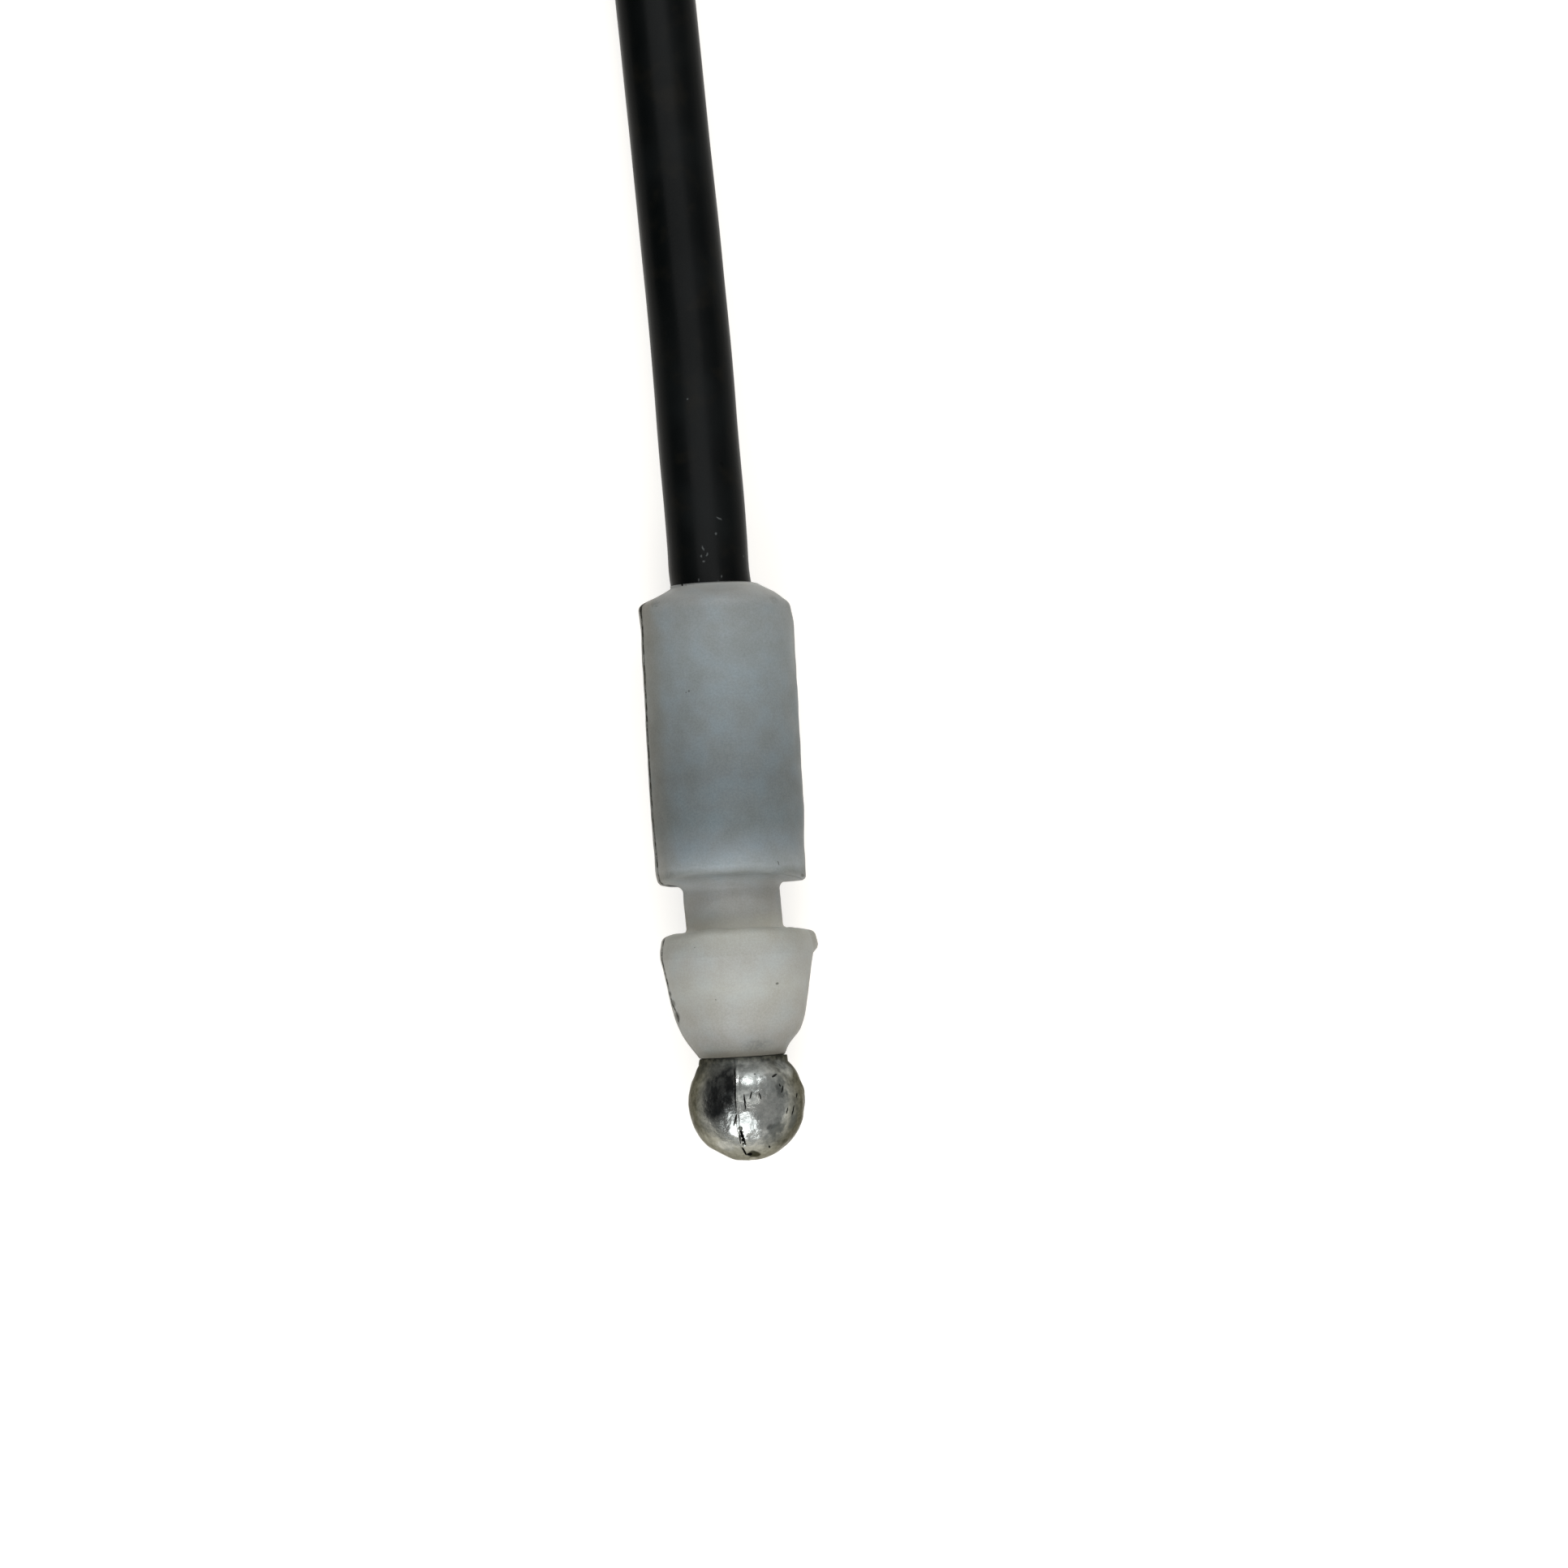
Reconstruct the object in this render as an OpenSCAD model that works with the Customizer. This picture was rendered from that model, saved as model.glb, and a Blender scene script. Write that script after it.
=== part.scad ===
// Release cable. A stranded inner wire slides in a sheathed casing. At each end a snap-in nylon
// ferrule sits by its groove in a bracket's slot, and a cast ball on the wire sits in a lever.
// Drawn out of one ferrule, the wire goes the same way into the other, so one ball is home against
// its ferrule while the other stands out by the stroke.
// The origin is the middle of the near ferrule's groove, on its axis. The near end points along -Y,
// +Z is up, and the cable lies flat: its spare length is wound in a coil, and the far end lies
// beside the near one.

/* [Inner wire] */
// Diameter over the outer strands
wire_d = 1.5; // [1.2:0.1:1.8]
// Number of strands that lie round the core strand
wire_strands = 6; // [6]
// Gap between one strand and the next
strand_gap = 0.02; // [0.01:0.005:0.04]
// Length in which a strand goes once round the wire
wire_lay = 11; // [9:1:16]
// Travel of the wire, which is how far the far ball stands out at rest
stroke = 25; // [15:1:25]
// Length of wire that stays in the nose when its ball is fully out
wire_hold = 3; // [2:0.5:3]

/* [Casing] */
// Free space all round the wire in its liner
wire_clearance = 0.15; // [0.12:0.01:0.2]
// Wall of the plastic liner
liner_wall = 0.25; // [0.2:0.05:0.35]
// Wall of the wound steel conduit
conduit_wall = 0.6; // [0.5:0.05:0.7]
// Wall of the extruded jacket
jacket_wall = 0.65; // [0.55:0.05:0.8]
// Clearance between one layer of the casing and the next
layer_gap = 0.05; // [0.04:0.01:0.08]

/* [Ferrule] */
// Diameter of the barrel
barrel_d = 9.5; // [8.8:0.1:11]
// Length of the barrel, from the groove to its rear end
barrel_len = 18.4; // [17:0.1:20]
// Height of the shallow cone on the barrel's rear end
barrel_rear_rise = 0.8; // [0.2:0.1:1]
// Corner radius of the barrel's rear end
barrel_rear_r = 1.3; // [0.5:0.1:1.6]
// Solid length at the barrel's front, past the end of the casing
barrel_front = 2.3; // [1.5:0.1:3.5]
// Corner radius of the barrel's front end
barrel_front_r = 0.4; // [0.2:0.1:0.6]
// Diameter of the neck in the groove
neck_d = 6.0; // [5:0.1:7]
// Width of the groove, which takes the bracket's plate
groove_w = 3.0; // [2.2:0.1:3.6]
// Largest diameter of the barb
barb_d = 9.5; // [8.8:0.1:11]
// Length of the barb and nose, from the groove to the tip
barb_len = 7.7; // [6.5:0.1:9]
// Length of the barb's rim, before its long taper
barb_rim_len = 1.5; // [1.3:0.1:2]
// Corner radius at the rear of the rim
barb_rim_r = 0.9; // [0.4:0.1:1]
// Corner radius between the rim and the taper
barb_taper_r = 0.5; // [0.2:0.1:1]
// Diameter where the taper ends and the nose begins
nose_d = 7.7; // [7:0.1:8.4]
// Length of the nose
nose_len = 1.6; // [1.4:0.1:2.4]
// Corner radius between the taper and the nose
nose_r = 5; // [2:0.5:6]
// Diameter of the flat tip
tip_d = 5.3; // [4.6:0.1:5.8]
// Corner radius of the tip
tip_r = 0.2; // [0.1:0.05:0.3]
// Corner radius at both ends of the neck
neck_fillet = 0.4; // [0.2:0.1:0.6]
// Chamfer at the mouths of the bores
mouth = 0.25; // [0.1:0.05:0.4]
// Distance that the liner stops short of the tip
liner_setback = 0.3; // [0.1:0.1:0.6]
// Clearance of the casing in the barrel's bore, and of the liner in the nose
ferrule_gap = 0.03; // [0.01:0.01:0.06]

/* [Ball] */
// Diameter of the ball
ball_d = 7.2; // [6.8:0.1:8.5]
// Diameter of the collar that meets the ferrule's tip
collar_d = 5.3; // [4.4:0.1:5.8]
// Distance from the ball's centre to the collar's flat face
collar_reach = 2.8; // [2.6:0.05:3.3]
// Diameter of the spread wire end that locks it in the casting
anchor_d = 2.4; // [2:0.1:3]
// Length of the spread wire end
anchor_len = 2.4; // [1.6:0.1:3]
// Width of the raised seam that the mould leaves on the ball
seam_w = 0.14; // [0.08:0.02:0.3]
// Height of that seam
seam_h = 0.05; // [0.03:0.01:0.12]
// Angle of that seam round the wire's axis
seam_angle = 8; // [0:1:30]
// Diameter of the hollow where the runner was broken off the ball
gate_d = 1.4; // [1:0.1:2]
// Depth of that hollow
gate_depth = 0.15; // [0.1:0.05:0.3]
// Gap between a ball that is home and its ferrule's tip
seat_gap = 0.05; // [0.03:0.01:0.1]

/* [Coil] */
// Turns in the coil, an odd number of half turns
coil_turns = 2.5; // [2.5]
// Radius of the coil at the middle of its turns
coil_r = 25.8; // [25:0.1:27]
// Gap between one turn and the next
coil_gap = 0.5; // [0.45:0.05:0.7]

/* [Hidden] */

$fn = 96;
tube_sides = 8;
rings_per_turn = 24;
corner_steps = 5;
strand_sides = 8;
degrees_per_slice = 36;

// The core strand is as thick as those round it
strand_d = wire_d / 3 - strand_gap;

// Layers of the casing, from the wire outwards
liner_id = wire_d + 2 * wire_clearance;
liner_od = liner_id + 2 * liner_wall;
conduit_id = liner_od + 2 * layer_gap;
conduit_od = conduit_id + 2 * conduit_wall;
jacket_id = conduit_od + 2 * layer_gap;
jacket_d = jacket_id + 2 * jacket_wall;

// Places along a ferrule's axis: the groove's middle is at 0 and the cable leaves at the rear
groove_front = -groove_w / 2;
groove_rear = groove_w / 2;
rear = groove_rear + barrel_len;
casing_end = groove_rear + barrel_front;
nose_start = groove_front - barb_len + nose_len;
tip = groove_front - barb_len;
liner_end = tip + liner_setback;
wire_in = tip + stroke + wire_hold;
wire_gap = 0.3;

// Heights: a ferrule's axis is at 0, and everything lies on the floor under it
floor_z = -max(barrel_d, barb_d) / 2;
lying_z = floor_z + jacket_d / 2;
coil_pitch = jacket_d + coil_gap;
piled_z = lying_z + coil_pitch;

// The coil spirals in on the floor and out again on top, about this centre
coil_centre = [-32.5, 95];
coil_inner_r = coil_r - coil_pitch * coil_turns / 4;

// Route of the casing between the ferrules. Each point is [x, y, share of the height between lying
// on the floor, or on the coil, and a ferrule's axis].
lead_points = [[0, 23, 1], [-0.4, 30, 0.86], [-0.8, 38, 0.56], [-1.2, 46, 0.25], [-1.6, 54, 0.06],
               [-2, 62, 0], [-2.5, 72, 0], [-3, 84, 0]];
tail_points = [[-62, 87, 0.2], [-62.2, 80, 0.65], [-62.2, 74, 0.95]];
far_rear = [-62.2, 70.1, 0];
far_at = far_rear - [0, rear, 0];

function lead_z(share) = lying_z * (1 - share);
function tail_z(share) = piled_z * (1 - share);
function ease(t) = let (c = min(max(t, 0), 1)) c * c * (3 - 2 * c);

// A point of the coil after t turns. It climbs a layer in the half turn where the spiral reverses.
function coil_point(t) =
    let (off = t - coil_turns / 2, r = coil_inner_r + coil_pitch * abs(off))
    [coil_centre[0] + r * cos(360 * t), coil_centre[1] + r * sin(360 * t),
     lying_z + coil_pitch * ease(2 * off + 0.5)];

near_inside = [[0, casing_end, 0], [0, rear, 0]];
far_inside = [far_rear, far_at + [0, casing_end, 0]];
lead = [for (p = lead_points) [p[0], p[1], lead_z(p[2])]];
coil_steps = coil_turns * rings_per_turn;
coil = [for (i = [0:coil_steps]) coil_point(i / rings_per_turn)];
tail = [for (p = tail_points) [p[0], p[1], tail_z(p[2])]];
casing_path = concat(near_inside, lead, coil, tail, far_inside);
liner_path = concat([[0, liner_end, 0]], casing_path, [far_at + [0, liner_end, 0]]);
run_path = concat([[0, wire_in + wire_gap, 0]], lead, coil, tail, [far_at + [0, wire_in + wire_gap, 0]]);
coil_first = len(near_inside) + len(lead);
coil_last = coil_first + coil_steps;

// ---- Measures that the source prints
function path_length(p, i = 1) = i == len(p) ? 0 : norm(p[i] - p[i - 1]) + path_length(p, i + 1);
function coil_spacing() =
    min([for (i = [0:coil_steps], j = [0:coil_steps])
        if (j - i > rings_per_turn / 2) norm(coil[j] - coil[i])]);
echo(casing_between_ferrules = path_length(concat([[0, rear, 0]], lead, coil, tail, [far_rear])));
echo(coil_gap_to_itself = coil_spacing() - jacket_d);
echo(jacket_d = jacket_d, liner_bore = liner_id);

// ---- Tubes swept along a path
function unit(v) = v / norm(v);
function heading(p, i) = unit(p[min(i + 1, len(p) - 1)] - p[max(i - 1, 0)]);
function ring(p, i, r) =
    let (t = heading(p, i), side = unit(cross(t, [0, 0, 1])), up = cross(side, t))
    [for (k = [0:tube_sides - 1])
        let (a = 360 * (k + 0.5) / tube_sides)
        p[i] + r * (cos(a) * side + sin(a) * up)];

// Two triangles for each side of the tube between ring j and the next. Rings start at index
// start + j * stride.
function skin(segments, start, stride, inwards) =
    [for (j = [0:segments - 1], k = [0:tube_sides - 1])
        let (a = start + j * stride + k, b = start + j * stride + (k + 1) % tube_sides)
        each inwards ? [[a, a + stride, b], [b, a + stride, b + stride]]
                     : [[a, b, a + stride], [b, b + stride, a + stride]]];

// The flat ring of faces that joins the outer wall to the bore at one end
function rim(outer, inner, at_start) =
    [for (k = [0:tube_sides - 1])
        let (m = (k + 1) % tube_sides)
        each at_start ? [[outer + k, inner + k, outer + m], [outer + m, inner + k, inner + m]]
                      : [[outer + k, outer + m, inner + k], [outer + m, inner + m, inner + k]]];

function fan(start, at_start) =
    [for (k = [1:tube_sides - 2])
        at_start ? [start, start + k + 1, start + k] : [start, start + k, start + k + 1]];

module pipe(path, first, last, outer_d, inner_d) {
    n = tube_sides;
    segments = last - first;
    points = [for (i = [first:last]) each concat(ring(path, i, outer_d / 2), ring(path, i, inner_d / 2))];
    faces = concat(skin(segments, 0, 2 * n, false), skin(segments, n, 2 * n, true), rim(0, n, true),
                   rim(2 * n * segments, 2 * n * segments + n, false));
    polyhedron(points, faces, convexity = 12);
}

module rod(path, outer_d) {
    segments = len(path) - 1;
    points = [for (i = [0:segments]) each ring(path, i, outer_d / 2)];
    faces = concat(skin(segments, 0, tube_sides, false), fan(0, true), fan(tube_sides * segments, false));
    polyhedron(points, faces, convexity = 12);
}

// ---- Profiles with rounded corners. A corner is [radius from the axis, place along it, fillet].
function corner(a, b, c) =
    let (p = [a[0], a[1]], q = [b[0], b[1]], s = [c[0], c[1]], va = unit(p - q), vc = unit(s - q),
         half = acos(va * vc) / 2, centre = q + unit(va + vc) * b[2] / sin(half),
         from = q + va * b[2] / tan(half) - centre, to = q + vc * b[2] / tan(half) - centre,
         start = atan2(from[1], from[0]), turn = atan2(to[1], to[0]) - start,
         sweep = turn > 180 ? turn - 360 : turn < -180 ? turn + 360 : turn)
    [for (k = [0:corner_steps])
        let (w = start + sweep * k / corner_steps)
        centre + b[2] * [cos(w), sin(w)]];
function rounded(corners) =
    let (n = len(corners))
    [for (i = [0:n - 1])
        let (here = corners[i])
        each here[2] > 0 ? corner(corners[(i + n - 1) % n], here, corners[(i + 1) % n])
                         : [[here[0], here[1]]]];

// Turns a shape drawn about Z so that it lies along Y
module along_y() rotate([-90, 0, 0]) children();

// ---- Sub-parts, each drawn about Z with the cable leaving upwards
module ferrule() {
    bore_r = jacket_d / 2 + ferrule_gap;
    passage_r = liner_od / 2 + ferrule_gap;
    color([0.80, 0.81, 0.80])
    rotate_extrude()
    polygon(rounded([
        [passage_r, tip + mouth, 0], [passage_r + mouth, tip, 0],
        [tip_d / 2, tip, tip_r], [nose_d / 2, nose_start, nose_r],
        [barb_d / 2, groove_front - barb_rim_len, barb_taper_r], [barb_d / 2, groove_front, barb_rim_r],
        [neck_d / 2, groove_front, neck_fillet], [neck_d / 2, groove_rear, neck_fillet],
        [barrel_d / 2, groove_rear, barrel_front_r],
        [barrel_d / 2, rear - barrel_rear_rise, barrel_rear_r],
        [bore_r + mouth, rear, 0], [bore_r, rear - mouth, 0],
        [bore_r, casing_end, 0], [passage_r, casing_end, 0]]));
}

// The spread end of the wire inside a ball, whose centre is at 0
module anchor() {
    cylinder(d = wire_d, h = collar_reach);
    cylinder(d1 = anchor_d, d2 = wire_d, h = anchor_len / 2);
    translate([0, 0, -anchor_len / 2]) cylinder(d1 = wire_d, d2 = anchor_d, h = anchor_len / 2);
}

// A ball cast on the wire's end, with its centre at 0 and its collar upwards
module ball() {
    color([0.62, 0.63, 0.64])
    difference() {
        union() {
            sphere(d = ball_d);
            cylinder(d = collar_d, h = collar_reach);
            rotate([90, 0, 90 - seam_angle])
            linear_extrude(height = seam_w, center = true)
            intersection() {
                circle(d = ball_d + 2 * seam_h);
                translate([-ball_d, -ball_d]) square([2 * ball_d, ball_d + collar_reach]);
            }
        }
        translate([0, 0, collar_reach]) cylinder(d = 2 * ball_d, h = ball_d);
        translate([0, 0, gate_depth - ball_d / 2]) mirror([0, 0, 1]) cylinder(d = gate_d, h = ball_d);
        anchor();
    }
}

// The wire's core strand from a ball's centre to a length beyond the collar, with its anchor in the
// ball, where all the strands are spread and run together in the casting
module wire(free_len) {
    color([0.55, 0.56, 0.57]) {
        anchor();
        cylinder(d = strand_d, h = collar_reach + free_len);
    }
}

// The strands that are laid round the core, from a ball's collar to the same length beyond it
module strands(free_len) {
    color([0.55, 0.56, 0.57])
    translate([0, 0, collar_reach])
    linear_extrude(height = free_len, twist = -360 * free_len / wire_lay,
                   slices = ceil(360 * free_len / wire_lay / degrees_per_slice),
                   segments = strand_sides, convexity = 4)
    for (i = [0:wire_strands - 1])
        rotate([0, 0, 360 * i / wire_strands])
        translate([(wire_d - strand_d) / 2, 0])
        circle(d = strand_d, $fn = strand_sides);
}

ball_home = tip - seat_gap - collar_reach;
wire_free = wire_in - ball_home - collar_reach;

module near_ferrule() along_y() ferrule();
module near_ball() along_y() translate([0, 0, ball_home]) ball();
module near_wire() along_y() translate([0, 0, ball_home]) wire(wire_free);
module near_strands() along_y() translate([0, 0, ball_home]) strands(wire_free);
module far_ferrule() translate(far_at) along_y() ferrule();
module far_ball() translate(far_at) along_y() translate([0, 0, ball_home - stroke]) ball();
module far_wire() translate(far_at) along_y() translate([0, 0, ball_home - stroke]) wire(wire_free);
module far_strands()
    translate(far_at) along_y() translate([0, 0, ball_home - stroke]) strands(wire_free);

module jacket(first, last) color([0.07, 0.08, 0.08]) pipe(casing_path, first, last, jacket_d, jacket_id);
module jacket_lead() jacket(0, coil_first);
module jacket_coil() jacket(coil_first, coil_last);
module jacket_tail() jacket(coil_last, len(casing_path) - 1);
module steel_conduit()
    color([0.6, 0.6, 0.58]) pipe(casing_path, 0, len(casing_path) - 1, conduit_od, conduit_id);
module liner()
    color([0.93, 0.93, 0.9]) pipe(liner_path, 0, len(liner_path) - 1, liner_od, liner_id);
module inner_wire_run() color([0.55, 0.56, 0.57]) rod(run_path, wire_d);

near_ferrule();
near_ball();
near_wire();
near_strands();
far_ferrule();
far_ball();
far_wire();
far_strands();
jacket_lead();
jacket_coil();
jacket_tail();
steel_conduit();
liner();
inner_wire_run();
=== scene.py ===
"""Looks of a release cable: a jacketed casing with a nylon ferrule at each end, and a wire through it that
has a cast zinc ball on each end."""
import math
from functools import partial

import bmesh
import bpy
from mathutils import Matrix, Vector, noise


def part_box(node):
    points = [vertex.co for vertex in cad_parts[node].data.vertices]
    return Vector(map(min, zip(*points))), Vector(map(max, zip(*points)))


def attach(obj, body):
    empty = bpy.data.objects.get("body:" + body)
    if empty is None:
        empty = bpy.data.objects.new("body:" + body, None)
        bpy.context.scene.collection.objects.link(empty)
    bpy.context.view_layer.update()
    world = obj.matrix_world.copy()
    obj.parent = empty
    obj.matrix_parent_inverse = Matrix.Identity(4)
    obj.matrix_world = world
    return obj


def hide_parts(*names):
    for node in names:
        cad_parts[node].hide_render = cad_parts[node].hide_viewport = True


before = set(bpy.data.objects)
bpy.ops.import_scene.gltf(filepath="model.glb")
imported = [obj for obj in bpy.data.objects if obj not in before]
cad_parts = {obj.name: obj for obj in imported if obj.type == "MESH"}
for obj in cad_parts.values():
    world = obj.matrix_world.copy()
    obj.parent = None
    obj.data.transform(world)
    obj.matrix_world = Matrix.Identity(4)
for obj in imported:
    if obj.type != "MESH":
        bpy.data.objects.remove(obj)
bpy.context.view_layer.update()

# ---------------------------------------------------------------- sizes, in millimetres
MM = 0.001
JACKET_D = 5.0
CONDUIT_D = 3.6
CONDUIT_WALL = 0.6
JACKET_WALL = (JACKET_D - CONDUIT_D) / 2
LINER_D = 2.3
LINER_WALL = 0.25
LINER_SETBACK = 0.3
WIRE_D = 1.5
WIRE_LAY = 11.0
STRANDS = 6
STRAND_GAP = 0.02
STRAND_LAY = 4.5        # of a strand's own fine wires
STROKE = 25.0
GROOVE_W = 3.0
NECK_D = 6.0
BARREL_FRONT = 2.3      # wall between the groove and the casing's end
REAR_BEVEL = 1.1
BARB_R = 4.75
TIP_D = 5.3
BORE_GAP = 0.03
COLLAR_D = 5.3
COLLAR_REACH = 2.8
WIRE_HOLE = 0.6         # how deep the wire's hole goes into the collar
SEAT_GAP = 0.05
TURNED_STEPS = 160      # round a turned piece
JACKET_SIDES = 32
INNER_TUBE_SIDES = 24

# The frame gives the ferrule's reach along its axis, the ball's and strands' places and the floor
ferrule_low, ferrule_high = (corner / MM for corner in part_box("near_ferrule"))
ball_low, ball_high = (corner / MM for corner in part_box("near_ball"))
strand_low, strand_high = (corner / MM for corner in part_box("near_strands"))
TIP_Y = ferrule_low.y
REAR_Y = ferrule_high.y
BARREL_R = ferrule_high.z
FAR_AT = Vector(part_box("far_ferrule")[0] / MM) - ferrule_low
BALL_R = (ball_high.x - ball_low.x) / 2
BALL_Y = TIP_Y - SEAT_GAP - COLLAR_REACH
FLOOR_Z = -BARREL_R
LYING_Z = FLOOR_Z + JACKET_D / 2
GROOVE_FRONT = -GROOVE_W / 2
GROOVE_REAR = GROOVE_W / 2
CASING_END = GROOVE_REAR + BARREL_FRONT
LINER_END = TIP_Y + LINER_SETBACK

# Marks of the mould and of handling
PARTING = math.radians(13.3)        # how far the ferrule's parting plane is turned below +X, about the axis
SEAM = math.radians(9.9)            # how far the ball's seam is turned towards -X from the top
NOSE_LEAN = 0.1                     # how far the ferrule's nose leans towards +X
EXIT_LEAN = 0.33                    # how far the casing leans towards -X where it leaves the near ferrule
BALL_SHIFT = Vector((0.22, 0, 0))   # the near casting sits a little to one side of its wire

# Route of the casing, with a coil in its middle. A stretch's point is (x, y, share of the way from where
# the casing lies, or is piled, to a ferrule's axis).
LEAD = [(0, 23, 1), (-0.4, 30, 0.86), (-0.8, 38, 0.56), (-1.2, 46, 0.25), (-1.6, 54, 0.06),
        (-2, 62, 0), (-2.5, 72, 0), (-3, 84, 0)]
TAIL = [(-62, 87, 0.2), (-62.2, 80, 0.65), (-62.2, 74, 0.95)]
COIL_CENTRE = (-32.5, 95)
COIL_R = 25.8
COIL_TURNS = 2.5
COIL_PITCH = 5.5
COIL_STEPS_PER_TURN = 24


def smooth_step(t):
    """Rises from 0 to 1 with level ends."""
    t = min(max(t, 0), 1)
    return t * t * (3 - 2 * t)


def coil_point(turn):
    """A point of the coil, which spirals in on the floor and out again on top of itself."""
    off = turn - COIL_TURNS / 2
    radius = COIL_R - COIL_PITCH * COIL_TURNS / 4 + COIL_PITCH * abs(off)
    angle = math.tau * turn
    return Vector((COIL_CENTRE[0] + radius * math.cos(angle), COIL_CENTRE[1] + radius * math.sin(angle),
                   LYING_Z + COIL_PITCH * smooth_step(2 * off + 0.5)))


def casing_route():
    """The casing's centreline from inside one ferrule to inside the other, in millimetres."""
    lead = [Vector((x, y, LYING_Z * (1 - share))) for x, y, share in LEAD]
    steps = int(COIL_TURNS * COIL_STEPS_PER_TURN)
    coil = [coil_point(i / COIL_STEPS_PER_TURN) for i in range(steps + 1)]
    piled_z = LYING_Z + COIL_PITCH
    tail = [Vector((x, y, piled_z * (1 - share))) for x, y, share in TAIL]
    near = [Vector((0, CASING_END, 0)), Vector((0, REAR_Y, 0))]
    far = [FAR_AT + Vector((0, REAR_Y, 0)), FAR_AT + Vector((0, CASING_END, 0))]
    return near + lead + coil + tail + far


# ---------------------------------------------------------------- camera
# The picture is square. The object lies a little turned in it, and the eye is nearly overhead.
VIEW_W = 97.1
EYE = Vector((2.9, -5.8, 385))
LOOK_AT = Vector((3.6, 7.5, 0))
TURN = math.radians(3.15)


def aim_camera():
    data = bpy.data.cameras.new("camera")
    camera = bpy.data.objects.new("camera", data)
    bpy.context.scene.collection.objects.link(camera)
    back = (EYE - LOOK_AT).normalized()
    up = Vector((math.sin(TURN), math.cos(TURN), 0))
    right = up.cross(back).normalized()
    up = back.cross(right)
    camera.matrix_world = Matrix.Translation(EYE * MM) @ Matrix((right, up, back)).transposed().to_4x4()
    data.sensor_width = 36
    data.lens = data.sensor_width * (EYE - LOOK_AT).length / VIEW_W
    data.clip_start = 0.01
    data.clip_end = 10
    bpy.context.scene.camera = camera


aim_camera()


# ---------------------------------------------------------------- making meshes
def new_piece(name, mesh, material, body=None, stands_for=()):
    """An object for a mesh that is drawn in millimetres, in its place."""
    mesh.transform(Matrix.Scale(MM, 4))
    mesh.materials.clear()
    mesh.materials.append(material)
    for face in mesh.polygons:
        face.use_smooth = True
    piece = bpy.data.objects.new(name, mesh)
    bpy.context.scene.collection.objects.link(piece)
    if body:
        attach(piece, body)
    if stands_for:
        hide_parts(*stands_for)
    return piece


def rounded(corners, spacing, arc_steps=7):
    """Points of an outline. A corner is (radius from the axis, place along it, fillet)."""
    points = []
    count = len(corners)
    for i, (r, y, fillet) in enumerate(corners):
        here = Vector((r, y))
        if fillet == 0 or i in (0, count - 1):
            points.append(here)
            continue
        before = (here - Vector(corners[i - 1][:2])).normalized()
        after = (Vector(corners[i + 1][:2]) - here).normalized()
        half = before.angle(after) / 2
        centre = here + (after - before).normalized() * fillet / math.cos(half)
        start = here - before * fillet * math.tan(half) - centre
        sweep = before.angle_signed(after)
        for k in range(arc_steps + 1):
            points.append(centre + Matrix.Rotation(-sweep * k / arc_steps, 2) @ start)
    dense = [points[0]]
    for a, b in zip(points, points[1:]):
        steps = max(1, math.ceil((b - a).length / spacing))
        dense += [a.lerp(b, k / steps) for k in range(1, steps + 1)]
    return dense


def turned(outline):
    """A bmesh of an outline, given as (radius, y) points, turned once round the Y axis."""
    bm = bmesh.new()
    verts = [bm.verts.new((r, y, 0)) for r, y in outline]
    edges = [bm.edges.new(pair) for pair in zip(verts, verts[1:])]
    bmesh.ops.spin(bm, geom=verts + edges, cent=(0, 0, 0), axis=(0, 1, 0), angle=math.tau,
                   steps=TURNED_STEPS, use_merge=True)
    bmesh.ops.remove_doubles(bm, verts=bm.verts, dist=0.0005)
    bmesh.ops.recalc_face_normals(bm, faces=bm.faces)
    return bm


def as_mesh(bm, name):
    mesh = bpy.data.meshes.new(name)
    bm.to_mesh(mesh)
    bm.free()
    return mesh


def mound(value, centre, half_width):
    """1 at a place and 0 beyond half_width on either side of it, with a round shape."""
    return smooth_step(1 - abs(value - centre) / half_width)


def off_axis(point):
    """A point's distance from the Y axis and the unit vector away from it."""
    out = Vector((point.x, 0, point.z))
    return out.length, out.normalized()


def raise_ridge(bm, plane, half_width, height, from_r):
    """Raises a narrow ridge where a plane through the Y axis cuts the outer skin."""
    for offset in (-half_width, -half_width / 3, half_width / 3, half_width):
        bmesh.ops.bisect_plane(bm, geom=bm.verts[:] + bm.edges[:] + bm.faces[:], dist=0.0005,
                               plane_co=plane * offset, plane_no=plane)
    for vert in bm.verts:
        r, out = off_axis(vert.co)
        if r > from_r(vert.co.y) and abs(vert.co.dot(plane)) < half_width * 0.9:
            vert.co += out * height


def knock_back(bm, corner, inward, reach, depth):
    """Rounds a turned corner further, by a depth that the azimuth gives, as a worn or short mould does.
    Inward is the way into the solid along the axis, 1 or -1."""
    at = Vector(corner)
    for vert in bm.verts:
        r, out = off_axis(vert.co)
        away = (Vector((r, vert.co.y)) - at).length
        if away < reach and r > NECK_D / 2 + 0.1:
            vert.co += (Vector((0, inward, 0)) - out) * depth(out.x) * smooth_step(1 - away / reach)


def roughen(bm, size, height, from_r, seed=0):
    """Moves the outer skin in and out a little, in waves of about a size."""
    for vert in bm.verts:
        r, out = off_axis(vert.co)
        if r > from_r(vert.co.y):
            vert.co += out * height * noise.noise(vert.co / size + Vector((seed, 0, 0)))


# ---------------------------------------------------------------- materials
SMOOTH = {"interpolation_type": "SMOOTHSTEP"}   # a Map Range that eases in and out
COLOUR = {"data_type": "RGBA"}                  # a Mix of colours


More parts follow.
